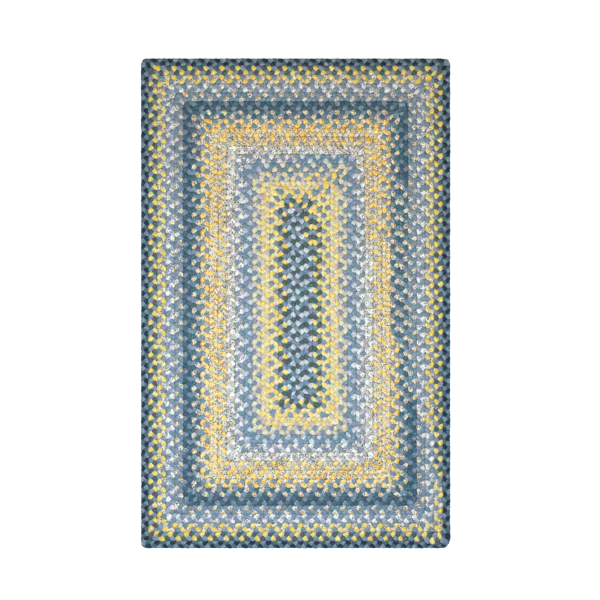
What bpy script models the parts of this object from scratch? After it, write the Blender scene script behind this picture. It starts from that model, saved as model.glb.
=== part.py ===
"""A rectangular braided rug, lying flat.

One long flat braid is laid round and round a short straight core and laced to itself, row beside row, so the
finished rug is a single flat piece with a rounded rib for every row. The braid starts at the lower end of the
middle row, runs outwards anticlockwise as seen from above, and ends at the lower right corner.

Metres, +Z up. The origin is on the floor under the rug's middle, +Y along its length.
"""

import math

import bmesh
import bpy
from mathutils import Vector

# Driving dimensions
ROUNDS = 18  # rounds of braid between the core and the rug's edge
ROW_SIDE = 0.0192  # width of a row along the two long sides
ROW_END = 0.0196  # width of a row along the two short ends, where the braid lies a little looser
EDGE_ROW = 0.0164  # width of the outermost row, which curls down at the rug's edge
CORE = 0.3872  # length of the straight core that the first round is laid about
THICK = 0.0095  # thickness of the braid, and so of the rug

CORNER = 0.012  # radius of every row's edges where the braid turns a corner
CORNER_STEPS = 4
TAIL_WIDTH = 0.0074  # width of the braid's end, which is drawn in and tucked under the last corner
TAIL_STEPS = 2  # steps of the last corner's arc that the tail lies along
TAIL_STARTS = 0.9  # share of the last row's straight run that keeps its full width

# The section of one row: how far across it a point lies, and how deep it lies below the rib's flat crest.
VALLEY = 0.0027
ROW_SECTION = (
    # across, sunk
    (0.00, VALLEY),
    (0.10, 0.0011),
    (0.26, 0.0),
    (0.74, 0.0),
    (0.90, 0.0011),
    (1.00, VALLEY),
)

SEW_DISTANCE = 0.00001  # points of neighbouring rows closer than this are one point
CLOTH_COLOUR = "a4aba0"  # the mixed cotton cloths seen together
CLOTH_ROUGHNESS = 0.95


def inset(edge, row):
    """How far in from the rug's edge a row's edge lies, with edge 0 the rug's own and each row this wide."""
    return EDGE_ROW + (edge - 1) * row if edge > 0 else 0.0


HALF_WIDTH = inset(ROUNDS, ROW_SIDE)
HALF_LENGTH = CORE / 2 + inset(ROUNDS, ROW_END)


def side(edge):
    """Distance from the rug's middle line to this edge of the rows on a long side."""
    return HALF_WIDTH - inset(edge, ROW_SIDE)


def end(edge):
    """Distance from the rug's middle to this edge of the rows on a short end."""
    return HALF_LENGTH - inset(edge, ROW_END)


def arc(corner_x, corner_y, first_quarter, radius):
    """Points round a corner of a row's edge, anticlockwise, whose square corner would be the one given."""
    middle = Vector((corner_x - math.copysign(radius, corner_x), corner_y - math.copysign(radius, corner_y)))
    angles = [math.pi / 2 * (first_quarter + step / CORNER_STEPS) for step in range(CORNER_STEPS + 1)]
    return [middle + Vector((math.cos(a), math.sin(a))) * radius for a in angles]


def stepping_corner(edge):
    """The lower right corner, where the braid moves one row out: a row's edge comes from one further in."""
    low = HALF_LENGTH - TAIL_WIDTH if edge == 0 else end(min(edge + 1, ROUNDS))
    return arc(side(edge), -low, -1, CORNER if edge < ROUNDS else 0.0)


def turn_of_edge(edge):
    """One turn of a row's edge: its four corners, then the point where the run to the next turn is nearly done."""
    radius = CORNER if edge < ROUNDS else 0.0
    places = stepping_corner(edge)
    places += arc(side(edge), end(edge), 0, radius)
    places += arc(-side(edge), end(edge), 1, radius)
    places += arc(-side(edge), -end(edge), 2, radius)
    run_ends = stepping_corner(edge - 1)[0].x if edge > 0 else HALF_WIDTH - CORNER
    share = TAIL_STARTS if edge < ROUNDS else 1.0  # the core's edge is a corner there, and bends nowhere else
    places.append(Vector((places[-1].x + (run_ends - places[-1].x) * share, -end(edge))))
    return places


def braid_sections():
    """Every section of the braid in the order it is laid: its inner point, its outer point and how high it rises."""
    start = Vector((0, -end(ROUNDS)))
    sections = [(start, start, 0.0)]
    for edge in range(ROUNDS, 0, -1):
        sections += [(a, b, 1.0) for a, b in zip(turn_of_edge(edge), turn_of_edge(edge - 1))]
    last_corner = stepping_corner(0)
    for step in range(TAIL_STEPS):
        tail = Vector((0, TAIL_WIDTH * (1 - step / TAIL_STEPS)))
        sections.append((last_corner[step], last_corner[step] - tail, 1.0))
    tip = last_corner[TAIL_STEPS]
    sections.append((tip, tip, 0.0))
    return sections


def lay_face(shape, sections, crest, inward):
    """Lays one face of the rug: a strip of quads along the braid, its crest at this height, sunk the given way."""
    strip = bmesh.ops.create_grid(
        shape, x_segments=len(ROW_SECTION) - 1, y_segments=len(sections) - 1, size=HALF_WIDTH
    )
    points = iter(strip["verts"])
    for inner, outer, rise in sections:
        for across, sunk in ROW_SECTION:
            place = inner.lerp(outer, across)
            depth = VALLEY + (sunk - VALLEY) * rise
            next(points).co = (place.x, place.y, crest + inward * depth)


def braided_rug():
    """The whole rug as one closed solid: an upper and a lower face, sewn row to row, joined round the rim."""
    shape = bmesh.new()
    sections = braid_sections()
    lay_face(shape, sections, THICK, -1)
    lay_face(shape, sections, 0.0, 1)
    bmesh.ops.remove_doubles(shape, verts=shape.verts, dist=SEW_DISTANCE)
    bmesh.ops.dissolve_degenerate(shape, edges=shape.edges, dist=SEW_DISTANCE)
    rim = [e for e in shape.edges if e.is_boundary]
    bmesh.ops.bridge_loops(shape, edges=rim)
    bmesh.ops.triangulate(shape, faces=shape.faces)
    bmesh.ops.recalc_face_normals(shape, faces=shape.faces)
    mesh = bpy.data.meshes.new("rug")
    shape.to_mesh(mesh)
    shape.free()
    return bpy.data.objects.new("rug", mesh)


def linear(hex_colour):
    """An sRGB hex colour as the linear red, green, blue and alpha that a shader takes."""
    values = [int(hex_colour[i : i + 2], 16) / 255 for i in (0, 2, 4)]
    return [v / 12.92 if v <= 0.04045 else ((v + 0.055) / 1.055) ** 2.4 for v in values] + [1.0]


def cotton_cloth():
    """Cotton cloth: matt, with the colour that its many prints mix to from a step away."""
    material = bpy.data.materials.new("cotton_cloth")
    material.use_nodes = True
    shader = material.node_tree.nodes["Principled BSDF"]
    shader.inputs["Base Color"].default_value = linear(CLOTH_COLOUR)
    shader.inputs["Roughness"].default_value = CLOTH_ROUGHNESS
    shader.inputs["Metallic"].default_value = 0.0
    return material


def main():
    for old in list(bpy.data.objects):
        bpy.data.objects.remove(old)
    rug = braided_rug()
    rug.data.materials.append(cotton_cloth())
    bpy.context.scene.collection.objects.link(rug)
    low = [min(v.co[i] for v in rug.data.vertices) for i in range(3)]
    high = [max(v.co[i] for v in rug.data.vertices) for i in range(3)]
    print("rug, metres:", [round(h - g, 4) for g, h in zip(low, high)], "faces:", len(rug.data.polygons))


main()
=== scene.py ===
# %% [markdown]
# # A braided cotton rug
#
# The real rug is made from old shirts and dresses. The cloth is torn into long strips, the raw edges are
# folded in, and three strips at a time are plaited into one flat braid, some forty metres long. The braid
# is laid round and round a short straight core on a table and laced to itself with a hidden thread, so each
# round lies flat against the one before it. When a strip runs out, the next one is sewn to its end, and
# that is how the colours change from round to round.
#
# This script makes it the same way: one repeat of a strip, arrayed into straight strips, laid along the
# path of the braid, one mesh for each cloth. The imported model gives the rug's real size.

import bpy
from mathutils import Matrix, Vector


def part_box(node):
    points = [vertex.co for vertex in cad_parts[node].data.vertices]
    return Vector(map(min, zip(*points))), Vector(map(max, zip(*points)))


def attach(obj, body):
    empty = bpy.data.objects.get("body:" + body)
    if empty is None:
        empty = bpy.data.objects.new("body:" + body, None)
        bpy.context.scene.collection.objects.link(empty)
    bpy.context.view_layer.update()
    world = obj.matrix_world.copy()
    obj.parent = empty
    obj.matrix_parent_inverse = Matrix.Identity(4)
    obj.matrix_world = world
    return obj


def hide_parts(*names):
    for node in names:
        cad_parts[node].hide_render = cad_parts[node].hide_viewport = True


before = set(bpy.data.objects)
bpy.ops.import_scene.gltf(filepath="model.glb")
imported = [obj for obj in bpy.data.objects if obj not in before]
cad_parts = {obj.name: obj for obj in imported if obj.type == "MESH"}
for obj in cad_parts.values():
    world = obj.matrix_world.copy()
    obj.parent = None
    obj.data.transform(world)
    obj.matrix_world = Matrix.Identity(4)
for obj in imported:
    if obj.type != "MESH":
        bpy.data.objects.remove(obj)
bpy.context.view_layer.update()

# %% Tools
import math

import bmesh
import bpy
import numpy as np
from mathutils import Matrix, Vector

# %% [markdown]
# ## The rows
#
# Seen from above, each round of the braid is one row on every side of the rug. A row could be placed by
# hand, but there are 18 rounds, so each row's edge is worked out from a few widths: how wide a row is on
# the long sides, on the short ends, and at the rug's rim, where nothing squeezes it from outside. Edge 0 is
# the rug's own edge, and edge 18 is the core.

# %% Edges of the rows
ROUNDS = 18
EDGE_ROW = 0.0164  # width of the row at the rug's rim, in metres like every size here
ROW_END = 0.0196  # width of a row along the short ends

HALF_WIDTH, HALF_LENGTH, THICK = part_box("rug")[1]
ROW_SIDE = (HALF_WIDTH - EDGE_ROW) / (ROUNDS - 1)


def side(edge):
    """Distance from the rug's middle line to this edge of the rows on a long side."""
    return HALF_WIDTH if edge == 0 else HALF_WIDTH - EDGE_ROW - (edge - 1) * ROW_SIDE


def end(edge):
    """Distance from the rug's middle to this edge of the rows on a short end."""
    return HALF_LENGTH if edge == 0 else HALF_LENGTH - EDGE_ROW - (edge - 1) * ROW_END


print("row width on the sides, mm:", round(ROW_SIDE * 1000, 2), "core, mm:", round(end(ROUNDS) * 2000, 1))

# %% [markdown]
# ## The braid's path
#
# A braid that turns a corner keeps its inner edge short and fans its outer edge out. If the path were only
# a centre line, the strips would bunch up on the inside of each bend and leave a hole on the outside. So
# the path is kept as two lines, the inner and the outer edge of the row, and a strip lies at a share of the
# way between them. On each corner both lines are cut into the same number of even steps.

# %% One corner
CORNER = 0.012  # radius that a row's edges turn a corner with
TURN_STEPS = 14


def arc(corner, quarter, radius):
    """Points round a square corner of an edge, anticlockwise, with the corner rounded to this radius."""
    middle = np.array(corner) - radius * np.sign(corner)
    angles = math.pi / 2 * (quarter + np.linspace(0, 1, TURN_STEPS + 1))
    return middle + radius * np.stack([np.cos(angles), np.sin(angles)], axis=1)


def even_points(line):
    """The points of a corner, spaced evenly along a line of points."""
    lengths = np.linalg.norm(np.diff(line, axis=0), axis=1)
    along = np.concatenate(([0.0], np.cumsum(lengths)))
    places = np.linspace(0, along[-1], TURN_STEPS + 1)
    return np.stack([np.interp(places, along, line[:, axis]) for axis in (0, 1)], axis=1)


def corner_sections(inner_corner, outer_corner, quarter):
    """Inner and outer points of the braid round a corner, given the square corners of its two edges."""
    radius = CORNER if abs(inner_corner[0]) > 0 else 0.0  # the first round turns about the core's bare end
    inner = arc(inner_corner, quarter, radius)
    across = np.array(outer_corner) - np.array(inner_corner)
    angles = (quarter * math.pi / 2, (quarter + 1) * math.pi / 2)
    outwards = [np.array((math.cos(angle), math.sin(angle))) for angle in angles]
    first = inner[0] + outwards[0] * abs(across @ outwards[0])
    last = inner[-1] + outwards[1] * abs(across @ outwards[1])
    outer = np.vstack([first, arc(outer_corner, quarter, CORNER), last])
    return np.hstack([inner, even_points(outer)])


print("points round one corner:", TURN_STEPS + 1)

# %% [markdown]
# ## Round after round
#
# The braid starts at the lower end of the middle row and goes up, over, down and along, always
# anticlockwise. At the lower right corner each round steps out by one row, so the row that comes in from
# the lower end is one number further in than the row that it becomes on the right. The last row narrows to
# a tail, which is tucked against that corner.

# %% The whole path
TAIL_WIDTH = 0.0074  # width of the braid's end, where it is tucked against the last corner
TAIL_STARTS = 0.9  # share of a row's straight run that keeps its full width
TAIL_TIP_INNER = (0.0045, 0.0102)  # how far in from the rug's right side and lower end its inner edge stops
TAIL_TIP_OUTER = (0.0062, 0.0052)  # and its outer edge


def round_sections(inner, outer):
    """One round between two edges: its corners, with the lower right one only where a round comes before."""
    corners = [
        corner_sections((side(inner), end(inner)), (side(outer), end(outer)), 0),
        corner_sections((-side(inner), end(inner)), (-side(outer), end(outer)), 1),
        corner_sections((-side(inner), -end(inner)), (-side(outer), -end(outer)), 2),
    ]
    if inner < ROUNDS:
        low = end(outer + 1) if outer > 0 else HALF_LENGTH - TAIL_WIDTH
        stepping = corner_sections((side(inner), -end(inner + 1)), (side(outer), -low), -1)
        corners.insert(0, stepping)
    return corners


sections = [np.array([[0.0, -end(ROUNDS), side(ROUNDS - 1), -end(ROUNDS)]])]
row_starts = {}  # for each round, the number of the section where it starts up the right-hand side
for inner in range(ROUNDS, 0, -1):
    corners = round_sections(inner, inner - 1)
    row_starts[inner] = sum(len(s) for s in sections) + (TURN_STEPS if inner < ROUNDS else -1)
    sections += corners
    leaves = corners[-1][-1]
    run_end = side(inner - 1) - CORNER
    nearly = leaves[0] + (run_end - leaves[0]) * TAIL_STARTS
    sections.append(np.array([[nearly, leaves[1], nearly, leaves[3]]]))

tail_start = (HALF_WIDTH - CORNER, TAIL_WIDTH - HALF_LENGTH, HALF_WIDTH - CORNER, -HALF_LENGTH)
tail_end = [edge for x, y in (TAIL_TIP_INNER, TAIL_TIP_OUTER) for edge in (HALF_WIDTH - x, y - HALF_LENGTH)]
sections = np.vstack(sections + [np.array([tail_start, tail_end])])

centres = (sections[:, :2] + sections[:, 2:]) / 2
laid = np.concatenate(([0.0], np.cumsum(np.linalg.norm(np.diff(centres, axis=0), axis=1))))
BRAID_LENGTH = laid[-1]
print("braid, metres:", round(BRAID_LENGTH, 2), "points on the path:", len(sections))

# %% [markdown]
# ## One repeat of a strip
#
# In a flat plait of three, every strip does the same thing: it comes round one edge, lies on top as it runs
# in to the middle, dives under, and comes round the other edge. Seen along the braid its middle swings from
# side to side once in each repeat, and up and down twice. So one repeat of one strip is enough, and the
# other two strips are the same one moved by a third. It is a ring, drawn out with extrude, and each new
# ring is turned to face along the strip.

# %% How a strip runs
REPEAT = 0.0352  # length of braid from one crossing of a strip to its next on the same side
SWING = 0.0067  # how far a strip's middle swings to either side
LIFT = 0.0031  # and up and down
WIDE_AT_CROSSING, WIDE_AT_EDGE = 0.0062, 0.0044  # half the width of a strip, which is folded narrower to turn
THICK_AT_CROSSING, THICK_AT_EDGE = 0.0018, 0.0033  # half its thickness
A_LITTLE = 0.001  # of a repeat, to either side of a place, to find which way the strip runs there


def strip_middle(turn):
    """The middle of a strip after this many repeats: along, across and up."""
    angle = 2 * math.pi * turn
    return Vector((REPEAT * turn, SWING * math.cos(angle), LIFT * math.sin(2 * angle)))


def ring_place(turn):
    """The matrix that takes a flat unit ring to the strip's section after this many repeats."""
    at_an_edge = math.cos(2 * math.pi * turn) ** 2
    half_width = WIDE_AT_CROSSING + (WIDE_AT_EDGE - WIDE_AT_CROSSING) * at_an_edge
    half_thick = THICK_AT_CROSSING + (THICK_AT_EDGE - THICK_AT_CROSSING) * at_an_edge
    ahead = (strip_middle(turn + A_LITTLE) - strip_middle(turn - A_LITTLE)).normalized()
    across = Vector((0, 0, 1)).cross(ahead).normalized() * half_width
    up = ahead.cross(across).normalized() * half_thick
    columns = Matrix((across, up, ahead)).transposed().to_4x4()
    return Matrix.Translation(strip_middle(turn)) @ columns


middles = [strip_middle(step / 100) for step in range(101)]
run = sum((after - before).length for before, after in zip(middles, middles[1:]))
print("length of a strip's middle in one repeat, mm:", round(run * 1000, 1))

# %% One repeat
RING_SIDES = 9
RING_STEPS = 16
SQUARENESS = 0.8  # below 1 the section's corners fill out, from an ellipse towards a box
HIDDEN = 0.25  # where in its repeat a strip is out of sight on both faces, and so where strips are joined
STRIP_IN_REPEAT = 0.050  # length of cloth in one repeat on the UV map, which the strip stretches a little
GIRTH = 0.027  # the distance round a strip
UV_NAME = "strip"


def one_repeat():
    """One repeat of a strip as an open tube. Its UV map says where on the flat cloth each corner lies."""
    shape = bmesh.new()
    ring = bmesh.ops.create_circle(shape, segments=RING_SIDES, radius=1.0)["verts"]
    for vert in ring:
        vert.co.x = math.copysign(abs(vert.co.x) ** SQUARENESS, vert.co.x)
        vert.co.y = math.copysign(abs(vert.co.y) ** SQUARENESS, vert.co.y)
    places = {vert: (0, number) for number, vert in enumerate(ring)}
    bmesh.ops.transform(shape, matrix=ring_place(HIDDEN), verts=ring)
    edges = list(shape.edges)
    for step in range(1, RING_STEPS + 1):
        drawn = bmesh.ops.extrude_edge_only(shape, edges=edges)["geom"]
        new_ring = [v for v in drawn if isinstance(v, bmesh.types.BMVert)]
        drawn_edges = [e for e in drawn if isinstance(e, bmesh.types.BMEdge)]
        edges = [e for e in drawn_edges if all(v in new_ring for v in e.verts)]
        for new in new_ring:
            neighbours = [e.other_vert(new) for e in new.link_edges]
            places[new] = (step, next(places[old][1] for old in neighbours if old not in new_ring))
        before = ring_place(HIDDEN + (step - 1) / RING_STEPS)
        after = ring_place(HIDDEN + step / RING_STEPS)
        bmesh.ops.transform(shape, matrix=after @ before.inverted(), verts=new_ring)
    uv = shape.loops.layers.uv.new(UV_NAME)
    for face in shape.faces:
        face.smooth = True
        wraps = {places[v][1] for v in face.verts} == {0, RING_SIDES - 1}
        for loop in face.loops:
            step, number = places[loop.vert]
            number += RING_SIDES if wraps and number == 0 else 0
            loop[uv].uv = (STRIP_IN_REPEAT * step / RING_STEPS, GIRTH * number / RING_SIDES)
    bmesh.ops.recalc_face_normals(shape, faces=shape.faces)
    mesh = bpy.data.meshes.new("one_repeat")
    shape.to_mesh(mesh)
    shape.free()
    return mesh


pattern = bpy.data.objects.new("one_repeat", one_repeat())
bpy.context.scene.collection.objects.link(pattern)
print("faces in one repeat:", len(pattern.data.polygons))

# %% [markdown]
# ## Straight strips
#
# An Array modifier sets copies of the repeat end to end and merges them. The strip's two ends could be left
# open, but a solid model needs them closed, so where a strip begins or ends in the middle of a repeat it is
# cut with a plane, and the holes at both ends are filled.

# %% A straight strip
MERGE_DISTANCE = 0.00001
AT_A_JOIN = 0.001  # an end this near to a join, in repeats, is already on the last ring and needs no cut

repeat = pattern.modifiers.new("along", "ARRAY")
repeat.use_relative_offset = False
repeat.use_constant_offset = True
repeat.constant_offset_displace = (REPEAT, 0, 0)
repeat.use_merge_vertices = True
repeat.merge_threshold = MERGE_DISTANCE
repeat.offset_u = STRIP_IN_REPEAT


def straight_strip(first, last):
    """A closed strip from one distance along the braid to another, in repeats, still straight."""
    whole = math.floor(first - HIDDEN)
    repeat.count = math.ceil(last - HIDDEN - whole)
    made = pattern.evaluated_get(bpy.context.evaluated_depsgraph_get()).to_mesh()
    shape = bmesh.new()
    shape.from_mesh(made)
    bmesh.ops.translate(shape, verts=shape.verts, vec=(REPEAT * whole, 0, 0))
    for cut, away in ((first, -1), (last, 1)):
        bmesh.ops.bisect_plane(
            shape,
            geom=shape.verts[:] + shape.edges[:] + shape.faces[:],
            plane_co=(REPEAT * cut, 0, 0),
            plane_no=(away, 0, 0),
            clear_outer=abs((cut - HIDDEN) % 1.0) > AT_A_JOIN,
        )
    bmesh.ops.holes_fill(shape, edges=[e for e in shape.edges if e.is_boundary], sides=0)
    return shape


# %% [markdown]
# ## Made by hand
#
# A machine would make every crossing alike. Hands pull one strip tighter, fold the next a little fuller,
# and let the braid creep along the row before it. A random number for each crossing, eased from one to the
# next, gives that. The numbers come from a fixed seed, so the rug is the same each time.

# %% Unevenness
SEED = 41
CROSSING = REPEAT / 2  # from one crossing of a strip to the next
FULLER = 0.09  # how far a strip's width strays, as a share of it
HIGHER = 0.10  # the same for its height
SHIFTED = 0.0007  # how far it strays across the braid
LATE = 0.0009  # and along it
SPARE = 3  # random values before the start, for places that lie just short of it
STRAND_KEYS = {"fuller": 0, "higher": 10, "shifted": 20, "late": 30, "tone": 50}  # a random series for each
CREEP_KEY = 40


def eased(where, spacing, key):
    """A smooth random value between -1 and 1 at each place, with a new value every so far along."""
    count = int(BRAID_LENGTH / spacing) + 2 * SPARE + 2
    values = np.random.default_rng(SEED + key).uniform(-1, 1, count)
    place = np.clip(where / spacing + SPARE, 0, count - 2)
    before = place.astype(int)
    share = place - before
    share = share * share * (3 - 2 * share)
    return values[before] * (1 - share) + values[before + 1] * share


def by_hand(points, strand):
    """Strays from the perfect plait: each crossing a little fuller or flatter, earlier or later."""
    along, across, up = points.T
    turn = along / REPEAT
    middle_across = SWING * np.cos(2 * math.pi * turn)
    middle_up = LIFT * np.sin(4 * math.pi * turn)
    fuller = 1 + FULLER * eased(along, CROSSING, strand + STRAND_KEYS["fuller"])
    higher = 1 + HIGHER * eased(along, CROSSING, strand + STRAND_KEYS["higher"])
    shifted = SHIFTED * eased(along, CROSSING, strand + STRAND_KEYS["shifted"])
    late = LATE * eased(along, CROSSING, strand + STRAND_KEYS["late"])
    across = middle_across + (across - middle_across) * fuller + shifted
    up = middle_up + (up - middle_up) * higher
    return np.stack([along + late, across, up], axis=1)


tries = eased(np.arange(0, BRAID_LENGTH, CROSSING), CROSSING, STRAND_KEYS["fuller"])
print("crossings on one strip:", len(tries), "fullest, as a share:", round(1 + FULLER * tries.max(), 3))

# %% [markdown]
# ## Laying the braid
#
# Now each straight strip is laid on the path. The braid was plaited from its outer end towards its start,
# as the points of its crossings show, so a distance along the strip is counted back from the end of the
# path. A strip's place across the braid becomes a share of the way from the row's inner to its outer edge,
# so the braid squeezes into the narrow rim row and fans out round the corners. Nothing holds the last round
# on its outer side, so its strips spread a little wider there, and end in a straight edge.

# %% Lay a strip on the path
CREEP = 0.0022  # how far the braid creeps along the row before it
CREEP_LENGTH = 0.11  # and over what length of braid it does
NARROWEST = 0.6  # the braid lies flatter as it is squeezed, down to this share of its full width
RIM_FULLER = 1.25  # the last round's strips spread this much wider on its outer side, which is free
RIM_EVENER = 0.55  # and are drawn in by this much towards their tips, which gives the rug a straight edge


def lay(points, strand):
    """Takes points of a straight strip to their places in the rug."""
    along, across, up = points.T
    back = along - REPEAT * strand / 3
    where = BRAID_LENGTH - back + CREEP * eased(back, CREEP_LENGTH, CREEP_KEY)
    inner_x, inner_y, outer_x, outer_y = (np.interp(where, laid, sections[:, i]) for i in range(4))
    share = across / ROW_SIDE
    last_corner = (laid[row_starts[1] - TURN_STEPS], laid[row_starts[1]])
    last_round = np.interp(where, last_corner, (0.0, 1.0))
    at_the_rim = share * (RIM_FULLER - RIM_EVENER * share)
    share = 0.5 + np.where(share > 0, share + (at_the_rim - share) * last_round, share)
    width = np.hypot(outer_x - inner_x, outer_y - inner_y) / ROW_SIDE
    flat = np.sqrt(np.clip(width, NARROWEST, 1.0))
    x = inner_x + (outer_x - inner_x) * share
    y = inner_y + (outer_y - inner_y) * share
    return np.stack([x, y, THICK / 2 + up * flat], axis=1)


# %% [markdown]
# ## The cloths
#
# Sixteen cloths make the whole rug, plain shirtings in blues and greys and small prints in yellow, cream
# and white. They are named for their colour, as a rug maker sorts a scrap bag. Each round uses three of
# them, and the chart below gives them from the core outwards. A round's first strip follows on from the
# first strip of the round before it, and so on, so the order of the three decides how a colour is staggered
# from row to row. The place where a strip is sewn on is given as a height on the rug's right-hand side, up
# from the rug's middle. A height past the top of that side runs on round the corner.

# %% Which cloths each round uses
CHART = {
    # round: the three strips, each with how many metres past the rug's middle it was joined on
    18: (("sky", None), ("bottle", None), ("steel", None)),
    17: (("lemon", 0.145), ("bottle", 0.145), ("slate", 0.145)),
    16: (("lemon", 0.192), ("butter", 0.192), ("slate", 0.192)),
    15: (("lemon", 0.262), ("ash", 0.262), ("butter", 0.275)),
    14: (("butter", 0.332), ("ash", 0.251), ("slate", 0.251)),
    13: (("sky", 0.446), ("slate", 0.350), ("steel", 0.251)),
    12: (("white", 0.458), ("slate", 0.440), ("dove", 0.458)),
    11: (("white", 0.296), ("dove", 0.296), ("cream", 0.296)),
    10: (("calico", 0.132), ("dove", 0.132), ("gold", 0.132)),
    9: (("calico", 0.251), ("cream", 0.251), ("gold", 0.251)),
    8: (("gold", 0.134), ("cream", 0.134), ("slate", 0.134)),
    7: (("teal", -0.088), ("cream", -0.088), ("steel", -0.088)),
    6: (("steel", 0.278), ("teal", 0.278), ("petrol", 0.278)),
    5: (("steel", -0.195), ("slate", -0.195), ("cream", -0.195)),
    4: (("white", -0.240), ("slate", -0.240), ("mist", -0.240)),
    3: (("lemon", -0.270), ("cream", -0.270), ("slate", -0.270)),
    2: (("slate", -0.387), ("lemon", -0.387), ("bottle", -0.387)),
    1: (("steel", -0.538), ("navy", -0.505), ("teal", -0.520)),
}


def laid_at(number, past_middle):
    """How far along the whole braid a place lies, given how far past the middle of the right side it is."""
    start = row_starts[number]
    return laid[start] + past_middle - centres[start][1]


strips = {}
for number, cloths in CHART.items():
    for strand, (cloth, joined) in enumerate(cloths):
        begins = 0.0 if joined is None else laid_at(number, joined)
        stops = BRAID_LENGTH if number == 1 else laid_at(number - 1, CHART[number - 1][strand][1])
        ends = []
        for place in (stops, begins):
            turn = (BRAID_LENGTH - place) / REPEAT + strand / 3
            at_an_end = place in (0.0, BRAID_LENGTH)
            ends.append(turn if at_an_end else round(turn - HIDDEN) + HIDDEN)
        strips.setdefault(cloth, []).append((strand, *ends))
print("strips of each cloth:", {cloth: len(rows) for cloth, rows in strips.items()})

# %% [markdown]
# ## One mesh for each cloth
#
# A real rug's strips of one cloth are the same stuff, so they are joined in one mesh with one material.
# Each point also keeps two facts for the material: how far along its strip it lies, in the UV map, and a
# random tone for its crossing, because a print shows a different part of its pattern each time the strip
# comes up.

# %% Make the cloths' meshes
def strip_mesh(strand, first, last):
    """One strip of cloth in its place in the rug."""
    shape = straight_strip(first, last)
    mesh = bpy.data.meshes.new("strip")
    shape.to_mesh(mesh)
    shape.free()
    points = np.empty(len(mesh.vertices) * 3)
    mesh.vertices.foreach_get("co", points)
    points = points.reshape(-1, 3)
    tone = mesh.attributes.new("tone", "FLOAT", "POINT")
    tone.data.foreach_set("value", eased(points[:, 0], CROSSING, strand + STRAND_KEYS["tone"]))
    mesh.vertices.foreach_set("co", lay(by_hand(points, strand), strand).ravel())
    mesh.update()
    return mesh


def cloth_piece(cloth):
    """All the strips of one cloth, as one piece."""
    shape = bmesh.new()
    for strand, first, last in strips[cloth]:
        mesh = strip_mesh(strand, first, last)
        shape.from_mesh(mesh)
        bpy.data.meshes.remove(mesh)
    mesh = bpy.data.meshes.new(cloth + "_cotton_strips")
    shape.to_mesh(mesh)
    shape.free()
    piece = bpy.data.objects.new(mesh.name, mesh)
    bpy.context.scene.collection.objects.link(piece)
    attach(piece, "root")
    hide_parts("rug")
    print(piece.name, "triangles:", sum(len(p.vertices) - 2 for p in mesh.polygons))
    return piece


pieces = {cloth: cloth_piece(cloth) for cloth in strips}
bpy.data.objects.remove(pattern)

# %% [markdown]
# ## The lacing
#
# The braid is laced to the round inside it with a strong pale thread, which zigzags through the loops at
# the rows' edges. It sits deep in the seam, so only a glint of it shows here and there, mostly where a
# corner opens the seam. A curve with a round bevel makes a thread of even thickness along any path.

# %% Lacing thread
THREAD_THICK = 0.0009
STITCH = 0.0088  # length of a stitch along the seam
ZIGZAG = 0.0010  # how far it swings to either side of the seam
THREAD_HIGH = THICK - 0.0022  # where it comes up between two loops of the braid
THREAD_LOW = THICK - 0.0046  # where it runs inside them
COMES_UP = 4  # every fourth stitch comes up
NOT_LACED = 0.03  # the tip of the tail is tucked in


def lacing():
    """The thread that joins each round of the braid to the one inside it."""
    beside_the_core = laid[2 * (TURN_STEPS + 1)]  # past two corners the braid first comes back beside itself
    where = np.arange(beside_the_core, BRAID_LENGTH - NOT_LACED, STITCH)
    stitch = np.arange(len(where))
    x, y, outer_x, outer_y = (np.interp(where, laid, sections[:, i]) for i in range(4))
    width = np.hypot(outer_x - x, outer_y - y)
    swing = ZIGZAG * np.where(stitch % 2, 1.0, -1.0) / width
    height = np.where(stitch % COMES_UP < COMES_UP - 1, THREAD_LOW, THREAD_HIGH)
    places = np.stack([x + (outer_x - x) * swing, y + (outer_y - y) * swing, height], axis=1)
    curve = bpy.data.curves.new("lacing_thread", "CURVE")
    curve.dimensions = "3D"
    curve.bevel_depth = THREAD_THICK / 2
    curve.bevel_resolution = 0
    curve.use_fill_caps = True
    line = curve.splines.new("POLY")
    line.points.add(len(where) - 1)
    for point, place in zip(line.points, places):
        point.co = (*place, 1.0)
    print("thread, metres:", round(np.linalg.norm(np.diff(places, axis=0), axis=1).sum(), 1))
    drawn = bpy.data.objects.new("lacing_curve", curve)
    bpy.context.scene.collection.objects.link(drawn)
    mesh = bpy.data.meshes.new_from_object(drawn.evaluated_get(bpy.context.evaluated_depsgraph_get()))
    bpy.data.objects.remove(drawn)
    thread = bpy.data.objects.new("lacing_thread", mesh)
    bpy.context.scene.collection.objects.link(thread)
    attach(thread, "root")
    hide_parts("rug")
    print(thread.name, "triangles:", sum(len(p.vertices) - 2 for p in mesh.polygons))
    return thread


thread = lacing()

# %% [markdown]
# ## Cotton
#
# Cotton shirting is a plain weave of dull, slightly hairy threads. It has no gloss, only a faint sheen
# where its nap catches light from the side, so it is rough, with a little sheen. Its material is built up
# in the order in which the real cloth is made: a dyed ground, specks and flowers printed on it, uneven
# yarn, and the weave. Colours are given as hex values, as a paint chart gives them, and one function adds
# each node.

# %% A colour, a material and a node
def linear(hex_colour):
    """An sRGB hex colour as the linear colour that a shader takes."""
    values = [int(hex_colour[i : i + 2], 16) / 255 for i in (0, 2, 4)]
    return [v / 12.92 if v <= 0.04045 else ((v + 0.055) / 1.055) ** 2.4 for v in values] + [1.0]


def new_material(name, surface):
    """A new material, with these values set on its shader."""
    material = bpy.data.materials.new(name)
    material.use_nodes = True
    for socket, value in surface.items():
        material.node_tree.nodes["Principled BSDF"].inputs[socket].default_value = value
    return material


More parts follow.
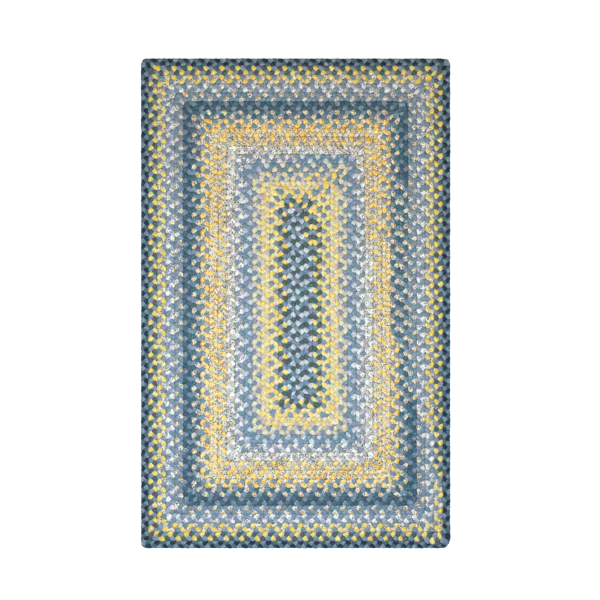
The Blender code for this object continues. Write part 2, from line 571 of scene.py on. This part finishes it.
def add(material, kind, settings=None, inputs=None, output=None):
    """Adds a node. Inputs that are sockets are linked, and others are set. Gives the node, or one output."""
    tree = material.node_tree
    new = tree.nodes.new("ShaderNode" + kind)
    for name, value in (settings or {}).items():
        setattr(new, name, value)
    for name, value in (inputs or {}).items():
        if isinstance(value, bpy.types.NodeSocket):
            tree.links.new(value, new.inputs[name])
        else:
            new.inputs[name].default_value = value
    return new if output is None else new.outputs[output]


# %% [markdown]
# ## The prints
#
# From a step away a print is only a scatter of colours, so one small generic print, in each cloth's own
# colours, serves for all sixteen. A plain shirting has petals that hardly differ from its ground. The
# ground has two tones, because scraps of one cloth are never faded quite alike.

# %% Colours of the sixteen cloths
PRINTS = {
    # cloth: (ground, ground elsewhere, petals, eyes, leaves and specks, share of the cells with a flower)
    "navy": ("20343e", "2a3248", ("344856",), "223040", "3e5468", 0.3),
    "petrol": ("365a6a", "42566e", ("4e6a7e",), "324c60", "607a8e", 0.3),
    "teal": ("426872", "526678", ("5e7684",), "3e5c6c", "6c8a92", 0.3),
    "bottle": ("446260", "505a64", ("5c6c70",), "3e5052", "6c8080", 0.3),
    "slate": ("688898", "8290a4", ("8a9eb4",), "5c728c", "9aaabc", 0.4),
    "steel": ("60889a", "78869e", ("86a0b0",), "506a80", "9eb2c0", 0.4),
    "sky": ("a4aec2", "bccccc", ("d8e2e6",), "7c90a6", "e2e8ec", 0.5),
    "mist": ("98a4b2", "aab4c0", ("d8dee4", "8696a6"), "7a8ca0", "5a6878", 0.6),
    "dove": ("b2b0b6", "bac4c0", ("dadedf", "909aa4"), "8e8a70", "2c3436", 0.75),
    "ash": ("bcb4b4", "cacab2", ("deddcc", "aea8a6"), "c8b88a", "98969e", 0.5),
    "white": ("dedde6", "e4ece8", ("f4f6f5", "b6bdc8"), "b8b08a", "343e4a", 0.6),
    "cream": ("dcdac8", "dadcd6", ("e8e8d4", "d8bca4", "e0c67a"), "6a5a3c", "202a22", 1.0),
    "butter": ("d4d2ae", "dad4b8", ("e4e2c8", "deb886"), "e0b078", "d0bc88", 0.5),
    "calico": ("d4ccae", "d6d8cc", ("eaeeea", "d8c09a", "e8bc68"), "6a5a3c", "303828", 0.9),
    "gold": ("f0cc70", "f0d68a", ("f8ecbc", "e8ae54"), "a07a40", "84743e", 0.5),
    "lemon": ("e2cc68", "e4d890", ("f2edb4", "e6c65c"), "dcb450", "ccae54", 0.7),
}
print("cloths:", len(PRINTS))

# %% [markdown]
# ## Ground and specks
#
# The ground leans to one tone or the other with each crossing's random tone. A print's repeat could be
# drawn as an image, but Voronoi cells need none: how far a point lies from the middle of its cell makes a
# dot, and the cell's random colour decides which cells have one. A Map Range node that runs from just above
# a limit to just below it tests for "less than", with a soft edge.

# %% Ground and specks
MIX_AMOUNT, MIX_UNDER, MIX_OVER, MIX_RESULT = 0, 6, 7, 2  # the sockets of a Mix node that mixes colours
TONE_SPREAD = 0.6  # how far the random tone goes before the ground is wholly of one tone
SPECK = 0.0042  # metres from one speck to the next
SPECK_SLANT = 0.6  # the specks lie at this angle to the strip, in radians
SPECK_SLIM = 1.8  # and are this many times longer than wide
SPECK_SIZE = 0.33  # as a share of the distance between specks
SPECK_SHARE = 0.2  # specks to each flower


def ground(material, main, elsewhere):
    """The dyed ground of a cloth, in two tones."""
    tone = add(material, "Attribute", {"attribute_name": "tone"}, None, "Fac")
    span = {"Value": tone, "From Min": -TONE_SPREAD, "From Max": TONE_SPREAD}
    leaning = add(material, "MapRange", None, span, "Result")
    colours = {MIX_AMOUNT: leaning, MIX_UNDER: linear(main), MIX_OVER: linear(elsewhere)}
    return add(material, "Mix", {"data_type": "RGBA"}, colours, MIX_RESULT)


def specks(material, place, under, colour, cover):
    """Specks of a colour, printed over what is under them."""
    slant = {"Vector": place, "Rotation": (0.0, 0.0, SPECK_SLANT), "Scale": (1.0, SPECK_SLIM, 1.0)}
    slanted = add(material, "Mapping", None, slant, "Vector")
    cells = add(material, "TexVoronoi", {"voronoi_dimensions": "2D"}, {"Vector": slanted, "Scale": 1 / SPECK})
    chance = add(material, "SeparateColor", None, {"Color": cells.outputs["Color"]}, "Red")
    tests = []
    for value, limit, edge in (
        (cells.outputs["Distance"], SPECK_SIZE, 0.05),
        (chance, cover * SPECK_SHARE, 0.01),
    ):
        span = {"Value": value, "From Min": limit + edge, "From Max": limit - edge}
        tests.append(add(material, "MapRange", None, span, "Result"))
    here = add(material, "Math", {"operation": "MULTIPLY"}, dict(enumerate(tests)), "Value")
    colours = {MIX_AMOUNT: here, MIX_UNDER: under, MIX_OVER: linear(colour)}
    return add(material, "Mix", {"data_type": "RGBA"}, colours, MIX_RESULT)


# %% [markdown]
# ## Flowers
#
# Larger cells hold the flowers. The angle about a cell's middle gives the petals and leaves: a cosine of
# five times the angle moves the petals' tips out and in five times round, and a sine of three times the
# angle is low in three places, where the leaves stick out between the petals.

# %% Petals
FLOWER = 0.0068  # metres from one flower to the next, as in a small dress print
PETAL_COUNT = 5
PETAL_REACH = 0.33  # sizes within a flower are shares of the distance between flowers
PETAL_TIP = 0.07
EYE_SIZE = 0.12


def petal_colours(material, chance, petals):
    """The colour of each flower's petals, picked by its cell's random number."""
    ramp = add(material, "ValToRGB", None, {"Fac": chance})
    ramp.color_ramp.interpolation = "CONSTANT"
    while len(ramp.color_ramp.elements) < len(petals):
        ramp.color_ramp.elements.new(0.5)
    for number, stop in enumerate(ramp.color_ramp.elements):
        stop.position = number / len(petals)
        stop.color = linear(petals[min(number, len(petals) - 1)])
    return ramp.outputs["Color"]


# %% Flowers
LEAF_COUNT = 3
LEAF_REACH = 0.54
LEAF_WIDTH = -0.35  # there is a leaf where the sine is lower than this


def flowers(material, place, under, petals, eye, leaf, cover):
    """Flowers with their leaves, printed over what is under them."""
    cells = add(material, "TexVoronoi", {"voronoi_dimensions": "2D"}, {"Vector": place, "Scale": 1 / FLOWER})
    distance = cells.outputs["Distance"]
    chance = add(material, "SeparateColor", None, {"Color": cells.outputs["Color"]})
    apart = {0: place, 1: cells.outputs["Position"]}
    from_eye = add(material, "VectorMath", {"operation": "SUBTRACT"}, apart, "Vector")
    parts = add(material, "SeparateXYZ", None, {"Vector": from_eye})
    sides = {0: parts.outputs["Y"], 1: parts.outputs["X"]}
    angle = add(material, "Math", {"operation": "ARCTAN2"}, sides, "Value")
    waves = {}
    for part, operation, count in (("petal", "COSINE", PETAL_COUNT), ("leaf", "SINE", LEAF_COUNT)):
        turned = add(material, "Math", {"operation": "MULTIPLY"}, {0: angle, 1: count}, "Value")
        waves[part] = add(material, "Math", {"operation": operation}, {0: turned}, "Value")
    reach = {0: waves["petal"], 1: PETAL_TIP, 2: PETAL_REACH}
    petal_tips = add(material, "Math", {"operation": "MULTIPLY_ADD"}, reach, "Value")
    past_tips = add(material, "Math", {"operation": "SUBTRACT"}, {0: distance, 1: petal_tips}, "Value")

    tests = {}
    for part, value, limit, edge in (
        ("flower", chance.outputs["Red"], cover, 0.01),
        ("leaf's reach", distance, LEAF_REACH, 0.03),
        ("leaf's width", waves["leaf"], LEAF_WIDTH, 0.1),
        ("petal", past_tips, 0.0, 0.03),
        ("eye", distance, EYE_SIZE, 0.04),
    ):
        span = {"Value": value, "From Min": limit + edge, "From Max": limit - edge}
        tests[part] = add(material, "MapRange", None, span, "Result")
    both = {0: tests["leaf's reach"], 1: tests["leaf's width"]}
    tests["leaf"] = add(material, "Math", {"operation": "MULTIPLY"}, both, "Value")

    petal_colour = petal_colours(material, chance.outputs["Green"], petals)
    for part, colour in (("leaf", linear(leaf)), ("petal", petal_colour), ("eye", linear(eye))):
        both = {0: tests[part], 1: tests["flower"]}
        here = add(material, "Math", {"operation": "MULTIPLY"}, both, "Value")
        colours = {MIX_AMOUNT: here, MIX_UNDER: under, MIX_OVER: colour}
        under = add(material, "Mix", {"data_type": "RGBA"}, colours, MIX_RESULT)
    return under


# %% [markdown]
# ## Yarn and shade
#
# Yarn is thicker in some places than in others, and a cloth is a little lighter or darker there. Shade is
# painted into the colour in the plait's hollows, on both faces, where little light gets in: the colour
# darkens with the depth below the nearer face.

# %% Yarn and shade
SLUB = 0.0026  # metres from slub to slub: a real one is nearer 1 mm, which is too fine to show
SLUB_TONES = {"From Min": 0.3, "From Max": 0.7, "To Min": 0.78, "To Max": 1.22}
# painted shade: the colour is darkened down to 0.4 of itself with depth in the plait
HOLLOW_PAINTED_SHADE = {"From Min": 0.0014, "From Max": 0.0044, "To Min": 1.0, "To Max": 0.4}  # from depths in metres


def shaded(material, place, colour):
    """A colour with the yarn's slubs, and painted shade that darkens it in the plait's hollows."""
    noise = {"Vector": place, "Scale": 1 / SLUB, "Detail": 1.0}
    slubs = add(material, "TexNoise", {"noise_dimensions": "2D"}, noise, "Fac")
    slubbed = add(material, "MapRange", None, {"Value": slubs, **SLUB_TONES}, "Result")
    # painted shade: the deeper a point lies below the nearer face, the darker its colour
    in_rug = add(material, "TexCoord", None, None, "Object")
    height = add(material, "SeparateXYZ", None, {"Vector": in_rug}, "Z")
    from_middle = add(material, "Math", {"operation": "SUBTRACT"}, {0: height, 1: THICK / 2}, "Value")
    either_way = add(material, "Math", {"operation": "ABSOLUTE"}, {0: from_middle}, "Value")
    sunk = add(material, "Math", {"operation": "SUBTRACT"}, {0: THICK / 2, 1: either_way}, "Value")
    painted_shade = add(material, "MapRange", None, {"Value": sunk, **HOLLOW_PAINTED_SHADE}, "Result")
    both = add(material, "Math", {"operation": "MULTIPLY"}, {0: slubbed, 1: painted_shade}, "Value")
    return add(material, "HueSaturation", None, {"Color": colour, "Value": both}, "Color")


# %% [markdown]
# ## Weave and creases
#
# Threads cross at right angles, so two Wave textures are added, one for each direction. The folded strip is
# pulled tight, which draws fine creases along it, so a Noise texture is stretched that way. Both are bumps,
# one on top of the other, since neither is deep enough to need geometry.

# %% Weave and creases
THREAD = 0.0008  # metres from thread to thread: a real shirting's 0.3 mm is too fine to show
WAVE_BAND = 0.314  # how far apart the bands of a Wave texture lie at a scale of 1
CREASE_LENGTH = 1 / 90  # creases are about 11 mm long
CREASE_SPACING = 1 / 420  # and 2.4 mm apart


def woven(material, place):
    """The normal of a woven cloth that is pulled into fine creases."""
    waves = []
    for direction in "XY":
        bands = {"wave_type": "BANDS", "bands_direction": direction}
        waves.append(add(material, "TexWave", bands, {"Vector": place, "Scale": WAVE_BAND / THREAD}, "Fac"))
    weave = add(material, "Math", {"operation": "ADD"}, dict(enumerate(waves)), "Value")
    depth = {"Height": weave, "Strength": 0.25, "Distance": 0.0002}
    threads = add(material, "Bump", None, depth, "Normal")
    stretch = {"Vector": place, "Scale": (1 / CREASE_LENGTH, 1 / CREASE_SPACING, 1.0)}
    pulled = add(material, "Mapping", None, stretch, "Vector")
    noise = {"Vector": pulled, "Scale": 1.0, "Detail": 2.0}
    creases = add(material, "TexNoise", {"noise_dimensions": "2D"}, noise, "Fac")
    depth = {"Height": creases, "Strength": 0.6, "Distance": 0.001, "Normal": threads}
    return add(material, "Bump", None, depth, "Normal")


# %% [markdown]
# ## The finished cloths
#
# A cotton's material puts these steps together. Its place on the cloth comes from the strip's UV map and
# not from its place in the room, so the print and the weave bend with the strip. The shader's own values
# are those of washed cotton: rough, with hardly any gloss and a faint sheen.

# %% The cottons
COTTON = {"Roughness": 0.95, "Specular IOR Level": 0.15, "Sheen Weight": 0.05}  # its nap scatters the light


def cotton(cloth):
    """A plain or printed cotton: matt, with the faint sheen of its nap."""
    main, elsewhere, petals, eye, leaf, cover = PRINTS[cloth]
    material = new_material(cloth + "_cotton", COTTON)
    place = add(material, "UVMap", {"uv_map": UV_NAME}, None, "UV")
    colour = ground(material, main, elsewhere)
    colour = specks(material, place, colour, leaf, cover)
    colour = flowers(material, place, colour, petals, eye, leaf, cover)
    tree = material.node_tree
    shader = tree.nodes["Principled BSDF"]
    tree.links.new(shaded(material, place, colour), shader.inputs["Base Color"])
    tree.links.new(woven(material, place), shader.inputs["Normal"])
    return material


for cloth, piece in pieces.items():
    piece.data.materials.append(cotton(cloth))
print("nodes in one cotton:", len(pieces["cream"].data.materials[0].node_tree.nodes))

# %% [markdown]
# ## Waxed linen
#
# Lacing thread is grey-white linen, drawn through wax. The wax lays its hairs flat, so it is a little less
# matt than the cotton. Only glints of it show between the rows, each smaller than a print's flower, so one
# colour and one roughness do.

# %% The thread's finish
WAXED = {"Base Color": linear("a9b3b8"), "Roughness": 0.7}

thread.data.materials.append(new_material("waxed_linen_thread", WAXED))
print("finish of the thread:", thread.data.materials[0].name)

# %% [markdown]
# ## Floor, light and camera
#
# The picture is taken from straight above, on white paper. The rug is brightest and coolest a little below
# its middle, and dimmer and warmer towards the top. One broad light could only be even, so there are two
# soft boxes: a strong cool one above the middle, and a weaker warm one over the top end. The paper glows a
# little, as on a light table, which keeps their shadows off it. A long lens from high up keeps the rug's
# sides straight. The camera's place comes from where the rug lies in the picture's 600 pixels.

# %% Floor
FLOOR_SIZE = 8.0
FLOOR_BELOW = 0.0003  # the rug's lowest threads press a little into the paper
PAPER = {
    "Base Color": linear("fcfcfc"),
    "Roughness": 1.0,
    "Emission Color": (0.80, 0.92, 1.0, 1.0),  # cool, to make up for the warm soft box
    "Emission Strength": 0.6,
}

shape = bmesh.new()
bmesh.ops.create_grid(shape, x_segments=1, y_segments=1, size=FLOOR_SIZE / 2)
bmesh.ops.translate(shape, verts=shape.verts, vec=(0, 0, -FLOOR_BELOW))
paper_mesh = bpy.data.meshes.new("paper_floor")
shape.to_mesh(paper_mesh)
shape.free()
floor = bpy.data.objects.new("paper_floor", paper_mesh)
bpy.context.scene.collection.objects.link(floor)
floor.data.materials.append(new_material("matt_white_paper", PAPER))
print("floor, metres:", [round(length, 2) for length in floor.dimensions])

# %% Light
ROOM_LIGHT = 0.28
BOX_SIZE = 1.0

world = bpy.data.worlds.new("soft_room")
bpy.context.scene.world = world
world.use_nodes = True
world.node_tree.nodes["Background"].inputs["Color"].default_value = (1.0, 1.0, 1.0, 1.0)
world.node_tree.nodes["Background"].inputs["Strength"].default_value = ROOM_LIGHT


def soft_box(name, place, power, colour):
    """A square soft light that faces the rug's middle."""
    light = bpy.data.lights.new(name, "AREA")
    light.shape = "SQUARE"
    light.size = BOX_SIZE
    light.energy = power
    light.color = colour
    lamp = bpy.data.objects.new(name, light)
    lamp.location = place
    lamp.rotation_euler = (-Vector(place)).to_track_quat("-Z", "Y").to_euler()
    bpy.context.scene.collection.objects.link(lamp)
    print(name, "watts:", power)


soft_box("cool_soft_box", (-0.12, -0.26, 1.1), 15.3, (0.80, 0.90, 1.0))
soft_box("warm_soft_box", (0.1, 0.6, 1.4), 7.0, (1.0, 0.58, 0.16))

# %% Camera
PHOTO_SIZE = 600
RUG_IN_PHOTO = {"left": 141.0, "right": 450.2, "top": 58.4, "bottom": 548.4}  # its sides, in pixels
LENS = 100.0  # in millimetres, as is the sensor's width
SENSOR = 36.0

metres_per_pixel = 2 * HALF_WIDTH / (RUG_IN_PHOTO["right"] - RUG_IN_PHOTO["left"])
lens = bpy.data.cameras.new("camera")
lens.lens = LENS
lens.sensor_width = SENSOR
camera = bpy.data.objects.new("camera", lens)
middle_x = (RUG_IN_PHOTO["left"] + RUG_IN_PHOTO["right"]) / 2
middle_y = (RUG_IN_PHOTO["top"] + RUG_IN_PHOTO["bottom"]) / 2
camera.location = (
    (PHOTO_SIZE / 2 - middle_x) * metres_per_pixel,
    (middle_y - PHOTO_SIZE / 2) * metres_per_pixel,
    THICK + PHOTO_SIZE * metres_per_pixel * LENS / SENSOR,
)
bpy.context.scene.collection.objects.link(camera)
bpy.context.scene.camera = camera
bpy.context.scene.view_settings.view_transform = "Standard"
print("camera, metres:", [round(v, 3) for v in camera.location])
